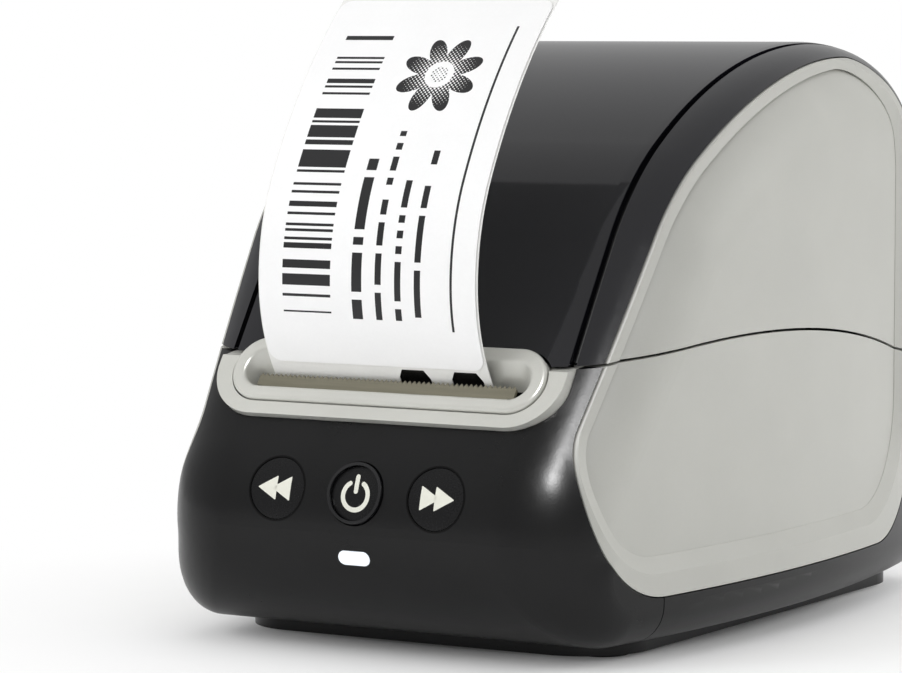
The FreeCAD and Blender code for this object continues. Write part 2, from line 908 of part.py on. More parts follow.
idler_axis = meet(platen_axis, pitch_radius(platen_teeth) + pitch_radius(idler_teeth),
                  motor_place, pitch_radius(pinion_teeth) + pitch_radius(idler_teeth))
platen_phase = 0.0
idler_phase = meshed_phase(platen_axis, platen_teeth, platen_phase, idler_axis, idler_teeth)
pinion_phase = meshed_phase(idler_axis, idler_teeth, idler_phase, motor_place, pinion_teeth)

shaft_local = (-head_shaft_front, -head_shaft_below)
head_pivot = near_nip(Part.Vertex(0, *shaft_local)).Point
head_axis = (head_pivot.y, head_pivot.z)
head_face = -paper_gap - paper_thickness / 2


def print_head():
    board = box((-head_half_length, head_half_length), (head_face - head_board_thickness, head_face),
                (head_top - head_length, head_top))
    return near_nip(board)


def head_heat_sink():
    front = head_face - head_board_thickness
    length = (head_top - head_length, head_top)
    sink = box((-head_half_length, head_half_length), (front - sink_thickness, front), length)
    step = head_length / (sink_grooves + 1)
    for index in range(sink_grooves):
        middle = head_top - step * (index + 1)
        sink = sink.cut(box((-far, far), (front - far, front - sink_thickness / 2),
                            (middle - sink_groove / 2, middle + sink_groove / 2)))
    arm = box((-head_half_length, head_half_length), (front - sink_thickness, front),
              (shaft_local[1], head_top - head_length))
    sink = near_nip(sink.fuse(arm))
    sink = sink.fuse(rod(head_axis, head_hub_radius, -head_half_length, head_half_length))
    return sink.cut(rod(head_axis, head_shaft_radius, -far, far)).removeSplitter()


def head_shaft():
    return rod(head_axis, head_shaft_radius, -plate_out, plate_out + gear_gap + lever_thickness)


def head_spring():
    spring = rod(head_axis, spring_radius, head_half_length + seam, plate_x)
    return spring.cut(rod(head_axis, head_shaft_radius + running_gap, -far, far))


def release_lever():
    low = plate_out + gear_gap
    half = lever_width / 2
    bar = box((low, low + lever_thickness), (-half, half), (0, lever_length))
    bar = bar.fuse(rod((0, lever_length), half, low, low + lever_thickness))
    bar = bar.fuse(rod((0, 0), lever_hub_radius, low, low + lever_thickness))
    bar = bar.cut(rod((0, 0), head_shaft_radius, -far, far))
    return placed(bar.removeSplitter(), head_axis, -lever_lean)


def side_plate(sign):
    points = [Vector(0, y, z) for y, z in plate_outline]
    low, high = sorted((sign * plate_x, sign * plate_out))
    plate = along_x(Part.Face(Part.makePolygon(points + points[:1])), low, high)
    plate = plate.cut(rod(platen_axis, bush_radius, -far, far))
    plate = plate.cut(rod(head_axis, head_shaft_radius + running_gap, -far, far))
    if sign < 0:
        plate = plate.cut(rod(motor_place, motor_boss_radius + seam, -far, far))
        plate = plate.cut(rod(idler_axis, stud_radius, -far, far))
    return plate


def stepper_motor():
    body = rod(motor_place, motor_radius, -plate_x, -plate_x + motor_length)
    body = body.fuse(rod(motor_place, motor_boss_radius, -plate_out, -plate_x))
    return body.cut(rod(motor_place, motor_shaft_radius + running_gap, -far, -plate_x + motor_length / 2))


def motor_shaft():
    return rod(motor_place, motor_shaft_radius, gear_low, -plate_x + motor_length / 2 - seam)


def idler_stud():
    stud = rod(idler_axis, stud_radius, gear_low - seam, -plate_x)
    return stud.fuse(rod(idler_axis, stud_head_radius, gear_low - seam - stud_head_thickness, gear_low - seam))


chute_top = path_level - paper_thickness / 2 - chute_below
chute_low = chute_top - chute_thickness
guide_x = paper_centre + paper_half_width + guide_gap


def paper_chute():
    plate = box((-plate_x, plate_x), (chute_front, chute_rear), (chute_low, chute_top))
    key = box((guide_x, guide_x + guide_travel + guide_thickness),
              (guide_place - guide_key_width / 2 - key_gap, guide_place + guide_key_width / 2 + key_gap),
              (-far, far))
    fence_x = paper_centre - paper_half_width - guide_gap
    fence = box((fence_x - guide_thickness, fence_x), (guide_place - guide_length / 2, guide_place + guide_length / 2),
                (chute_top, chute_top + guide_height))
    return plate.cut(key).fuse(fence).removeSplitter()


def width_guide():
    high = guide_x + guide_thickness
    fence = box((guide_x, high), (guide_place - guide_length / 2, guide_place + guide_length / 2),
                (chute_top + key_gap, chute_top + guide_height))
    key = box((guide_x, high), (guide_place - guide_key_width / 2, guide_place + guide_key_width / 2),
              (chute_low - key_gap - chute_thickness, chute_top + key_gap))
    foot = box((guide_x, high), (guide_place - guide_key_width, guide_place + guide_key_width),
               (chute_low - key_gap - chute_thickness, chute_low - key_gap))
    return fence.fuse(key).fuse(foot).removeSplitter()


def label_sensor():
    x, y = sensor_place
    return box((x, x + sensor_size[0]), (y, y + sensor_size[1]), (chute_low - sensor_size[2], chute_low))


# Label roll on its spool

roll_left = paper_centre - paper_half_width
roll_right = paper_centre + paper_half_width
bore_radius = core_radius - core_wall
spindle_radius = bore_radius - spindle_gap
disc_right = roll_left - side_gap
disc_left = disc_right - disc_thickness
journal_end = cradle_inner + cradle_thickness
shoulder_x = cradle_inner - shoulder_gap


def spool_spindle():
    """Spindle with its fixed flange and the two journals."""
    bar = rod(roll_axis, spindle_radius, disc_right, shoulder_x)
    bar = bar.fuse(rod(roll_axis, flange_disc_radius, disc_left, disc_right))
    bar = bar.fuse(rod(roll_axis, collar_radius, -shoulder_x, disc_left))
    return bar.fuse(rod(roll_axis, journal_radius, -journal_end, journal_end)).removeSplitter()


def roll_core():
    core = rod(roll_axis, core_radius, roll_left, roll_right)
    return core.cut(rod(roll_axis, bore_radius, -far, far))


def label_roll():
    roll = rod(roll_axis, roll_radius, roll_left, roll_right)
    return roll.cut(rod(roll_axis, core_radius, -far, far))


def spool_guide():
    low = roll_right + side_gap
    disc = rod(roll_axis, guide_disc_radius, low, low + disc_thickness)
    disc = disc.fuse(rod(roll_axis, guide_hub_radius, low + disc_thickness, low + disc_thickness + guide_hub_length))
    return disc.cut(rod(roll_axis, spindle_radius + guide_slide_gap, -far, far)).removeSplitter()


def roll_cradle():
    """Upright with an open notch for a journal."""
    y, z = roll_axis
    top = z + cradle_rise
    outline = [(y - cradle_foot, floor_top), (y - cradle_top, top), (y + cradle_top, top), (y + cradle_foot, floor_top)]
    points = [Vector(0, *place) for place in outline]
    plate = along_x(Part.Face(Part.makePolygon(points + points[:1])), cradle_inner, cradle_inner + cradle_thickness)
    notch = journal_radius + running_gap
    plate = plate.cut(rod(roll_axis, notch, -far, far))
    return plate.cut(box((-far, far), (y - notch, y + notch), (z, far)))


# Base tray, main board and sockets

board_holes = [(sign * board_hole_x, y) for sign in (-1, 1)
               for y in (board_front + board_hole_inset, board_rear - board_hole_inset - jack_width)]
board_level = board_bottom + board_thickness
feet_places = [(sign * foot_x, y) for sign in (-1, 1) for y in (foot_front, foot_rear)]
case_screw_places = [(sign * x, y) for sign in (-1, 1) for x, y in (front_screw, rear_screw)]


def base_tray():
    tray = tray_block(0)
    for x, y in board_holes:
        tray = tray.fuse(post(x, y, standoff_radius, floor_top, board_bottom))
        tray = tray.cut(post(x, y, screw_radius, tray_bottom + wall, far))
    for x, y in feet_places:
        tray = tray.cut(post(x, y, foot_radius, 0, foot_height))
    for x, y in case_screw_places:
        tray = tray.cut(post(x, y, screw_radius, 0, far))
        tray = tray.cut(post(x, y, screw_head_radius, 0, tray_bottom + case_screw_head_height))
    return tray.removeSplitter()


def case_screws():
    screws = []
    for x, y in case_screw_places:
        head = post(x, y, screw_head_radius, tray_bottom, tray_bottom + case_screw_head_height)
        screws.append(head.fuse(post(x, y, screw_radius, tray_bottom, screw_boss_top - wall)))
    return screws


def board_screws():
    screws = []
    for x, y in board_holes:
        head = post(x, y, screw_head_radius, board_level, board_level + screw_head_height)
        screws.append(head.fuse(post(x, y, screw_radius, floor_top - wall, board_level)))
    return screws


def main_board():
    board = box((-board_half_width, board_half_width), (board_front, board_rear), (board_bottom, board_level))
    for x, y in board_holes:
        board = board.cut(post(x, y, screw_radius, -far, far))
    return board


def dc_jack():
    middle = board_level + jack_height / 2
    face = case_rear - socket_recess
    body = box((jack_x - jack_width / 2, jack_x + jack_width / 2), (jack_front, case_rear - wall - jack_clear),
               (board_level, board_level + jack_height))
    back = Vector(jack_x, jack_front, middle)
    body = body.fuse(Part.makeCylinder(jack_collar_radius, face - jack_front, back, Vector(0, 1, 0)))
    mouth = Vector(jack_x, face - jack_bore_depth, middle)
    body = body.cut(Part.makeCylinder(jack_bore_radius, far, mouth, Vector(0, 1, 0)))
    pin = Part.makeCylinder(jack_pin_radius, jack_pin_length, mouth, Vector(0, 1, 0))
    return body.fuse(pin).removeSplitter()


def data_socket():
    face = case_rear - socket_recess
    middle = board_level + data_height / 2
    body = box((data_x - data_width / 2, data_x + data_width / 2), (data_front, face),
               (board_level, board_level + data_height))

    def bar(size, start):
        return box((data_x - size[0] / 2, data_x + size[0] / 2), (face - data_depth, start),
                   (middle - size[1] / 2, middle + size[1] / 2))

    return body.cut(bar(data_cavity, far)).fuse(bar(data_tongue, face - tongue_recess)).removeSplitter()


# Write every sub-part

os.makedirs("parts", exist_ok=True)

save("base_tray", base_tray())
save("rubber_feet", *[post(x, y, foot_radius, 0, foot_height) for x, y in feet_places])
save("case_screws", *case_screws())
save("front_housing", front_housing())
save("rear_housing", rear_housing())
panel = dished_panel()
lower_panel = panel.common(base_region)
upper_panel = panel.common(lid_region)
save("side_panel_lower_right", lower_panel)
save("side_panel_lower_left", mirrored(lower_panel))
save("side_panel_upper_right", upper_panel)
save("side_panel_upper_left", mirrored(upper_panel))
save("lid_panel", lid_panel())
cheek = lid_cheek()
save("lid_cheek_right", cheek)
save("lid_cheek_left", mirrored(cheek))
save("lid_frame", lid_frame())
save("hinge_pins", *hinge_pins())
save("slot_apron", slot_apron())
save("slot_ring", slot_ring())
save("tear_bar", tear_bar())
save("button_rewind", button(button_x[0], button_radius))
save("button_power", button(button_x[1], power_cap_radius))
save("button_power_ring", power_ring())
save("button_forward", button(button_x[2], button_radius))
save("button_board", button_board())
save("button_switches", *switches())
save("indicator_light", light_bar(0, -light_depth, light_depth).common(outer_body))
save("platen_roller", platen_roller())
save("platen_shaft", platen_shaft())
save("platen_bushes", platen_bush(-plate_out, -plate_x), platen_bush(plate_x, plate_out))
save("platen_gear", gear(platen_axis, platen_teeth, platen_phase, platen_shaft_radius))
save("idler_gear", gear(idler_axis, idler_teeth, idler_phase, stud_radius + running_gap))
save("idler_stud", idler_stud())
save("motor_pinion", gear(motor_place, pinion_teeth, pinion_phase, motor_shaft_radius))
save("motor_shaft", motor_shaft())
save("stepper_motor", stepper_motor())
save("mechanism_plate_left", side_plate(-1))
save("mechanism_plate_right", side_plate(1))
save("print_head", print_head())
save("head_heat_sink", head_heat_sink())
save("head_shaft", head_shaft())
save("head_spring", head_spring())
save("release_lever", release_lever())
save("paper_chute", paper_chute())
save("width_guide", width_guide())
save("label_sensor", label_sensor())
save("spool_spindle", spool_spindle())
save("spool_guide", spool_guide())
save("roll_core", roll_core())
save("label_roll", label_roll())
right_cradle = roll_cradle()
save("roll_cradle_right", right_cradle)
save("roll_cradle_left", mirrored(right_cradle))
notches = notch_cut()
save("label_web", strip(inner_path(), paper_thickness, paper_half_width).cut(notches))
save("label_strip", strip(curl(0, 0), paper_thickness, paper_half_width).cut(notches))
label_shift = (paper_thickness + label_thickness) / 2
save("printed_label", strip(curl(label_start, label_shift), label_thickness, paper_half_width))
save("main_board", main_board())
save("board_screws", *board_screws())
save("dc_jack", dc_jack())
save("data_socket", data_socket())
print("platen", platen_axis, "idler", idler_axis, "head", head_axis, "roll", roll_axis, "hinge", hinge_axis)
print("button", button_place, button_tilt, "nip", nip, "exit", exit_point)
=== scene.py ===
# %% [markdown]
# # A desktop label printer in a white studio
# The printer's solids come from a CAD model that is loaded as a fixed frame. This lesson
# gives each solid a finish, adds the printed label and the button symbols as new pieces,
# and sets up a plain studio with a camera. Everything is in metres, with the front of the
# printer towards -Y and the table at Z = 0.

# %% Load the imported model
import json
import math
import bpy
import bmesh
from mathutils import Matrix, Vector


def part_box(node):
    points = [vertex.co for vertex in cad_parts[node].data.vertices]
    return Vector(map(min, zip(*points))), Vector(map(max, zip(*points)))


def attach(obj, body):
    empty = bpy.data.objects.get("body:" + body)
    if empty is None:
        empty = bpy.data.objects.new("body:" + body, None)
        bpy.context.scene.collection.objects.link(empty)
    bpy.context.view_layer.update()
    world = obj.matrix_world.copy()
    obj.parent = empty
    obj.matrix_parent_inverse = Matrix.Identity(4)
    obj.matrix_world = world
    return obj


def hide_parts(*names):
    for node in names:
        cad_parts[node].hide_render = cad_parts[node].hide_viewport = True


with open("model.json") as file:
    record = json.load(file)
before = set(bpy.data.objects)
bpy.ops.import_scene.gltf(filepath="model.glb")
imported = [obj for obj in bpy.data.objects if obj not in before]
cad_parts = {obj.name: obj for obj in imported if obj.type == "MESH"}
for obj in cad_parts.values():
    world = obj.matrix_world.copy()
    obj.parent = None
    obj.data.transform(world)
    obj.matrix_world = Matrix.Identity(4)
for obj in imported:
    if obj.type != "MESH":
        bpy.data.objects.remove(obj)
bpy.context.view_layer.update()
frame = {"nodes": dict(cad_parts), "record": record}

scene = bpy.context.scene
nodes = frame["nodes"]
record = frame["record"]

# %% [markdown]
# ## A toolbox for finishes
# A finish is a node tree. Writing formulas with nodes is wordy, so a few helpers keep it
# short: one adds a node with its settings, one adds a Math node and joins its inputs, and
# the rest add what several finishes share. Numbers are typed into sockets, and sockets are
# linked.

# %% Node helpers
def add_node(tree, kind, **settings):
    node = tree.nodes.new(kind)
    for name, value in settings.items():
        setattr(node, name, value)
    return node


def plug(tree, value, socket):
    if isinstance(value, bpy.types.NodeSocket):
        tree.links.new(value, socket)
    else:
        socket.default_value = value


def calc(tree, operation, *values):
    node = add_node(tree, "ShaderNodeMath", operation=operation)
    for value, socket in zip(values, node.inputs):
        plug(tree, value, socket)
    return node.outputs[0]


def between(tree, value, low, high):
    """One where value lies between low and high, and zero elsewhere."""
    above = calc(tree, "GREATER_THAN", value, low)
    below = calc(tree, "LESS_THAN", value, high)
    return calc(tree, "MULTIPLY", above, below)


def distance(tree, across, up):
    """How far a point lies from the middle, from its two coordinates."""
    across_squared = calc(tree, "MULTIPLY", across, across)
    up_squared = calc(tree, "MULTIPLY", up, up)
    return calc(tree, "SQRT", calc(tree, "ADD", across_squared, up_squared))


print("node helpers ready")

# %% Material helpers
def new_finish(name):
    material = bpy.data.materials.new(name)
    material.use_nodes = True
    return material


def shader_of(material):
    return material.node_tree.nodes["Principled BSDF"]


def object_place(tree):
    return add_node(tree, "ShaderNodeTexCoord").outputs["Object"]


def noise(tree, place, scale, detail):
    node = add_node(tree, "ShaderNodeTexNoise")
    node.inputs["Scale"].default_value = scale
    node.inputs["Detail"].default_value = detail
    plug(tree, place, node.inputs["Vector"])
    return node.outputs["Fac"]


def remap(tree, value, to_low, to_high, from_low=0.0, from_high=1.0, **settings):
    """Turn one range of numbers into another."""
    node = add_node(tree, "ShaderNodeMapRange", **settings)
    node.inputs["From Min"].default_value = from_low
    node.inputs["From Max"].default_value = from_high
    node.inputs["To Min"].default_value = to_low
    node.inputs["To Max"].default_value = to_high
    plug(tree, value, node.inputs["Value"])
    return node.outputs["Result"]


def two_tones(tree, value, dark, pale, start=0.0, end=1.0):
    """A colour that goes from dark to pale as the value goes from start to end."""
    node = add_node(tree, "ShaderNodeValToRGB")
    stops = node.color_ramp.elements
    stops[0].position, stops[1].position = start, end
    stops[0].color, stops[1].color = dark, pale
    plug(tree, value, node.inputs["Fac"])
    return node.outputs["Color"]


print("material helpers ready")

# %% [markdown]
# ## Moulded surfaces
# Real plastic is never one flat colour: the tone drifts a little, the polish drifts with
# it, and the mould leaves a fine grain. Object coordinates are used because they stay put
# when a body moves, and they are in metres, so a noise scale of 2000 is a grain of half a
# millimetre.

# %% A moulded finish
drift_scale, drift_detail, drift_share = 55.0, 4.0, 0.65
grain_detail, grain_share, grain_depth = 2.0, 0.35, 0.00003
tone_start, tone_end = 0.3, 0.7


def moulded(name, tone, rough, metal=0.0, specular=0.5, swing=0.10, grain=2200.0, bump=0.08,
            rough_swing=0.05):
    material = new_finish(name)
    tree, shader = material.node_tree, shader_of(material)
    shader.inputs["Metallic"].default_value = metal
    shader.inputs["Specular IOR Level"].default_value = specular
    place = object_place(tree)
    drift = noise(tree, place, drift_scale, drift_detail)
    fine = noise(tree, place, grain, grain_detail)
    drift_part = calc(tree, "MULTIPLY", drift, drift_share)
    both = calc(tree, "MULTIPLY_ADD", fine, grain_share, drift_part)
    dark = [c * (1 - swing) for c in tone] + [1]
    pale = [c * (1 + swing) for c in tone] + [1]
    colour = two_tones(tree, both, dark, pale, tone_start, tone_end)
    plug(tree, colour, shader.inputs["Base Color"])
    polish = remap(tree, both, rough - rough_swing, rough + rough_swing)
    plug(tree, polish, shader.inputs["Roughness"])
    relief = add_node(tree, "ShaderNodeBump")
    relief.inputs["Strength"].default_value = bump
    relief.inputs["Distance"].default_value = grain_depth
    plug(tree, fine, relief.inputs["Height"])
    plug(tree, relief.outputs["Normal"], shader.inputs["Normal"])
    return material


print("moulded finish ready")

# %% [markdown]
# ## Finishes of the case
# The front and the lower strip are satin black, the lid is polished black, and the sides and
# the slot are silver-grey plastic. The black grain is coarse enough to break up highlights,
# while the lid is smooth so that it mirrors the label that stands in front of it.

# %% Case finishes
finishes = {
    "case_black": moulded("satin_black_case", (0.0070, 0.0070, 0.0073), 0.29, specular=0.22,
                          swing=0.14, bump=0.30),
    "lid_black": moulded("polished_black_lid", (0.0060, 0.0060, 0.0085), 0.09, swing=0.06,
                         grain=900.0, bump=0.010, rough_swing=0.02),
    "frame_black": moulded("hidden_frame_black", (0.004, 0.004, 0.004), 0.60),
    "panel_silver": moulded("silver_side_panel", (0.415, 0.415, 0.386), 0.42, swing=0.035,
                            grain=3000.0, bump=0.10),
    "ring_silver": moulded("silver_slot_rim", (0.590, 0.590, 0.550), 0.32, metal=0.35, swing=0.03,
                           grain=3000.0, bump=0.06),
    "button_black": moulded("satin_black_button", (0.0065, 0.0065, 0.0070), 0.27, specular=0.22,
                            swing=0.08, bump=0.05),
    "button_gloss": moulded("polished_button_rim", (0.0080, 0.0080, 0.0090), 0.14, swing=0.08,
                            bump=0.02),
    "rubber_black": moulded("moulded_rubber", (0.015, 0.015, 0.015), 0.75, specular=0.3,
                            swing=0.2, bump=0.3),
    "part_black": moulded("inner_black_plastic", (0.016, 0.016, 0.016), 0.50, swing=0.15, bump=0.2),
    "part_grey": moulded("inner_grey_plastic", (0.20, 0.20, 0.205), 0.48, swing=0.08, bump=0.15),
    "gear_white": moulded("gear_nylon", (0.74, 0.73, 0.68), 0.45, swing=0.05, bump=0.1),
    "ceramic_head": moulded("glazed_head_strip", (0.62, 0.58, 0.50), 0.22, swing=0.06, bump=0.05),
}
print("case finishes:", len(finishes))

# %% [markdown]
# ## Metals, card and clear parts
# Metals take the same recipe with the metallic value at one. Paper and card are duller, and
# the window of the indicator light glows a little.

# %% Metal, card and light finishes
finishes.update({
    "steel": moulded("ground_steel", (0.52, 0.52, 0.51), 0.32, metal=1.0, swing=0.06, grain=4000.0,
                     bump=0.1),
    "socket_metal": moulded("plated_socket", (0.60, 0.60, 0.57), 0.28, metal=1.0, swing=0.05,
                            bump=0.05),
    "aluminium": moulded("extruded_aluminium", (0.66, 0.66, 0.67), 0.38, metal=1.0, swing=0.05,
                         bump=0.12),
    "core_card": moulded("wound_card", (0.42, 0.30, 0.19), 0.80, specular=0.2, swing=0.18,
                         grain=700.0, bump=0.3),
    "liner_paper": moulded("glassine_liner", (0.80, 0.80, 0.78), 0.50, specular=0.35, swing=0.03,
                           grain=1500.0),
    "label_white": moulded("coated_label_paper", (0.86, 0.86, 0.86), 0.42, specular=0.4,
                           swing=0.02, grain=1500.0),
    "light_white": moulded("light_window", (0.82, 0.86, 0.90), 0.25, swing=0.05, grain=600.0,
                           bump=0.03),
})
light_shader = shader_of(finishes["light_white"])
light_shader.inputs["Emission Color"].default_value = (0.86, 0.93, 1.0, 1)
light_shader.inputs["Emission Strength"].default_value = 0.35
print("finishes so far:", len(finishes))

# %% [markdown]
# ## The brushed tear bar
# The toothed bar is a strip of steel that is brushed along its length. Scratches could be cut
# one by one, but a Mapping node that stretches the noise along X gives long ones all over.

# %% Brushed tear bar
scratch_scale = (0.05, 1.0, 1.0)


def brushed(name, tone, rough):
    material = moulded(name, tone, rough, metal=1.0, swing=0.16, grain=1600.0, bump=0.25)
    tree = material.node_tree
    stretch = add_node(tree, "ShaderNodeMapping")
    stretch.inputs["Scale"].default_value = scratch_scale
    place = [node for node in tree.nodes if node.type == "TEX_COORD"][0].outputs["Object"]
    plug(tree, place, stretch.inputs["Vector"])
    for node in tree.nodes:
        if node.type == "TEX_NOISE":
            plug(tree, stretch.outputs["Vector"], node.inputs["Vector"])
    return material


finishes["tear_steel"] = brushed("brushed_tear_bar", (0.27, 0.255, 0.195), 0.42)
print("tear bar finish ready")

# %% [markdown]
# ## Circuit boards
# A board is dark green with slightly paler copper tracks under the solder mask. A Brick
# texture gives straight tracks that start and stop, which reads as a board.

# %% Board finish
mask_dark, mask_pale = (0.012, 0.090, 0.035, 1), (0.016, 0.110, 0.042, 1)
track_green = (0.035, 0.210, 0.085, 1)
mask_rough, track_rough = 0.28, 0.40


def board_finish():
    material = new_finish("solder_mask_board")
    tree, shader = material.node_tree, shader_of(material)
    tracks = add_node(tree, "ShaderNodeTexBrick", offset=0.37, squash=1.6, squash_frequency=3)
    tracks.inputs["Scale"].default_value = 160.0
    tracks.inputs["Mortar Size"].default_value = 0.03
    tracks.inputs["Color1"].default_value = mask_dark
    tracks.inputs["Color2"].default_value = mask_pale
    tracks.inputs["Mortar"].default_value = track_green
    plug(tree, object_place(tree), tracks.inputs["Vector"])
    plug(tree, tracks.outputs["Color"], shader.inputs["Base Color"])
    polish = remap(tree, tracks.outputs["Fac"], mask_rough, track_rough)
    plug(tree, polish, shader.inputs["Roughness"])
    return material


finishes["board_green"] = board_finish()
print("board finish ready")

# %% [markdown]
# ## The wound label roll
# The roll is hundreds of layers of liner and label. Modelling them would add nothing, so
# the finish draws them: the distance from the roll's axis goes through a sine, which gives
# fine rings on the two flat ends and an even sheet on the outside.

# %% Wound paper finish
roll_low, roll_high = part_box("label_roll")
roll_axis = (roll_low + roll_high) / 2
layer_pitch, layer_share = 0.0007, 0.28
uneven_scale, uneven_detail = 90.0, 2.0
layer_dark, layer_pale = (0.62, 0.60, 0.55, 1), (0.86, 0.86, 0.84, 1)


def wound_paper():
    material = new_finish("wound_label_paper")
    tree, shader = material.node_tree, shader_of(material)
    shader.inputs["Specular IOR Level"].default_value = 0.3
    shader.inputs["Roughness"].default_value = 0.6
    place = object_place(tree)
    split = add_node(tree, "ShaderNodeSeparateXYZ")
    plug(tree, place, split.inputs["Vector"])
    across = calc(tree, "SUBTRACT", split.outputs["Y"], roll_axis.y)
    up = calc(tree, "SUBTRACT", split.outputs["Z"], roll_axis.z)
    turns = calc(tree, "MULTIPLY", distance(tree, across, up), 2 * math.pi / layer_pitch)
    layers = calc(tree, "SINE", turns)
    uneven = noise(tree, place, uneven_scale, uneven_detail)
    shade = calc(tree, "MULTIPLY_ADD", layers, layer_share, uneven)
    plug(tree, two_tones(tree, shade, layer_dark, layer_pale), shader.inputs["Base Color"])
    return material


wound_finish = wound_paper()
print("roll axis:", [round(v, 4) for v in roll_axis])

# %% [markdown]
# ## Dress every solid
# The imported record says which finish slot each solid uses. One loop puts the finishes on,
# so a solid that is added later is dressed too. The roll shares its slot with the label, so
# it gets its wound finish after the loop.

# %% Assign the finishes
for part in record["subparts"]:
    mesh = nodes[part["node"]].data
    mesh.materials.clear()
    mesh.materials.append(finishes[part["material_slot"]])
nodes["label_roll"].data.materials[0] = wound_finish
print("dressed solids:", len(record["subparts"]))

# %% [markdown]
# ## The standing label
# The label is a thin sheet that follows the liner out of the slot and back over the lid. It
# is easiest to make flat, where its corners can be rounded and its print laid out in a UV
# map, and then to bend it: each point's distance along the strip is turned into a place on
# three arcs that meet smoothly, the same arcs that the liner follows.

# %% The curl of the strip
# Each arc has its first and last angle in degrees, and its radius.
slot_exit = Vector((-0.0019, -0.07850614, 0.06124587))
curl_arcs = [(-33.0, 0.0, 0.038), (0.0, 27.0, 0.050), (27.0, 49.0, 0.135)]
last_angle = curl_arcs[-1][1]
strip_length = sum(math.radians(end - start) * radius for start, end, radius in curl_arcs)


def spoke(angle):
    """The direction from an arc's centre to its rim."""
    return Vector((0, -math.cos(angle), math.sin(angle)))


def on_curl(across, along, lift):
    """A point of the strip: across it, along it from the slot, and lifted off its middle."""
    place = slot_exit.copy()
    for start, end, radius in curl_arcs:
        first, last = math.radians(start), math.radians(end)
        centre = place - spoke(first) * radius
        length = (last - first) * radius
        if along <= length or end == last_angle:
            rim = spoke(first + along / radius) * (radius + lift)
            return centre + Vector((across, 0, 0)) + rim
        along -= length
        place = centre + spoke(last) * radius


print("strip length out of the slot:", round(strip_length, 4))

# %% Make the label flat, then bend it
label_width, label_thickness, label_corner = 0.0554, 0.00012, 0.003
label_margin, label_slices = 0.0030, 90
label_start, label_end = label_margin, strip_length - label_margin
label_length = label_end - label_start
liner_half, label_clearance = 0.000125, 0.00012


def whole(mesh):
    return mesh.verts[:] + mesh.edges[:] + mesh.faces[:]


def standing_label():
    mesh = bmesh.new()
    bmesh.ops.create_grid(mesh, x_segments=1, y_segments=1, size=0.5)
    bmesh.ops.scale(mesh, vec=(label_width, label_length, 1), verts=mesh.verts)
    bmesh.ops.bevel(mesh, geom=mesh.verts[:], offset=label_corner, offset_type="OFFSET",
                    segments=6, profile=0.5, affect="VERTICES", material=-1)
    for step in range(1, label_slices):
        cut = Vector((0, label_length * (step / label_slices - 0.5), 0))
        bmesh.ops.bisect_plane(mesh, geom=whole(mesh), plane_co=cut, plane_no=(0, 1, 0))
    chart = mesh.loops.layers.uv.new("print")
    for face in mesh.faces:
        for loop in face.loops:
            flat = loop.vert.co
            loop[chart].uv = (flat.x / label_width + 0.5, flat.y / label_length + 0.5)
    bmesh.ops.solidify(mesh, geom=mesh.faces[:], thickness=label_thickness)
    underside = min(vertex.co.z for vertex in mesh.verts)
    for vertex in mesh.verts:
        lift = liner_half + label_clearance + vertex.co.z - underside
        vertex.co = on_curl(vertex.co.x, vertex.co.y + label_length / 2 + label_start, lift)
    bmesh.ops.recalc_face_normals(mesh, faces=mesh.faces)
    return mesh


print("label to make:", round(label_width, 4), "by", round(label_length, 4))

# %% Put the label in the scene
crease_angle = math.radians(40.0)


def as_object(mesh, name):
    data = bpy.data.meshes.new(name)
    mesh.to_mesh(data)
    mesh.free()
    for polygon in data.polygons:
        polygon.use_smooth = True
    data.set_sharp_from_angle(angle=crease_angle)
    piece = bpy.data.objects.new(name, data)
    scene.collection.objects.link(piece)
    return piece


label = as_object(standing_label(), "standing_label")
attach(label, "base")
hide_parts("printed_label")
print("label faces:", len(label.data.polygons))

# %% [markdown]
# ## Painted shade behind the notches
# The liner has two small notches near the slot, and behind them the inside of the printer lies in
# shade. The slot could be made deeper, but a thin black pane close behind each notch paints that
# shade from every side, and it is bent by the same curl as the strip.

# %% Painted shade behind the notches
notch_places, notch_width = (0.00685, 0.0202), 0.008
shade_overlap, shade_reach = 0.0008, 0.0024
shade_thickness, shade_drop = 0.00015, 0.00055


def shade_pane_mesh(middle):
    mesh = bmesh.new()
    bmesh.ops.create_grid(mesh, x_segments=2, y_segments=8, size=0.5)
    pane_size = (notch_width + shade_overlap, 2 * shade_reach, 1)
    bmesh.ops.scale(mesh, vec=pane_size, verts=mesh.verts)
    bmesh.ops.solidify(mesh, geom=mesh.faces[:], thickness=shade_thickness)
    for vertex in mesh.verts:
        across, along, lift = vertex.co
        vertex.co = on_curl(middle - slot_exit.x + across, along, lift - shade_drop)
    bmesh.ops.recalc_face_normals(mesh, faces=mesh.faces)
    return mesh


# Painted shade: a near-black pane stands for the shade inside the printer behind each notch.
notch_shade_black = moulded("painted_notch_shade", (0.004, 0.004, 0.004), 0.25, specular=0.3, swing=0.1,
                       bump=0.02)
for side, middle in zip(("inner", "outer"), notch_places):
    pane = as_object(shade_pane_mesh(middle), "painted_shade_pane_" + side)
    pane.data.materials.append(notch_shade_black)
    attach(pane, "base")
print("windows behind the notches:", len(notch_places))

# %% [markdown]
# ## The print on the label
# The printer's own work is a thermal print: black marks on white paper. The layout is drawn
# with nodes from the UV map in millimetres: a bar pattern, a long rule, rows of dashes and a
# flower. White noise on whole steps gives bars of uneven width.

# %% Print masks
def block(tree, x, y, across, along):
    """One inside a rectangle of the label, and zero outside it."""
    return calc(tree, "MULTIPLY", between(tree, x, *across), between(tree, y, *along))


def uneven_bars(tree, y, pitch, seed, share):
    """Bars across the label. A step of the pitch is left white by chance."""
    step = calc(tree, "FLOOR", calc(tree, "DIVIDE", y, pitch))
    chance = add_node(tree, "ShaderNodeTexWhiteNoise", noise_dimensions="1D")
    plug(tree, calc(tree, "ADD", step, seed), chance.inputs["W"])
    return calc(tree, "GREATER_THAN", chance.outputs["Value"], share)


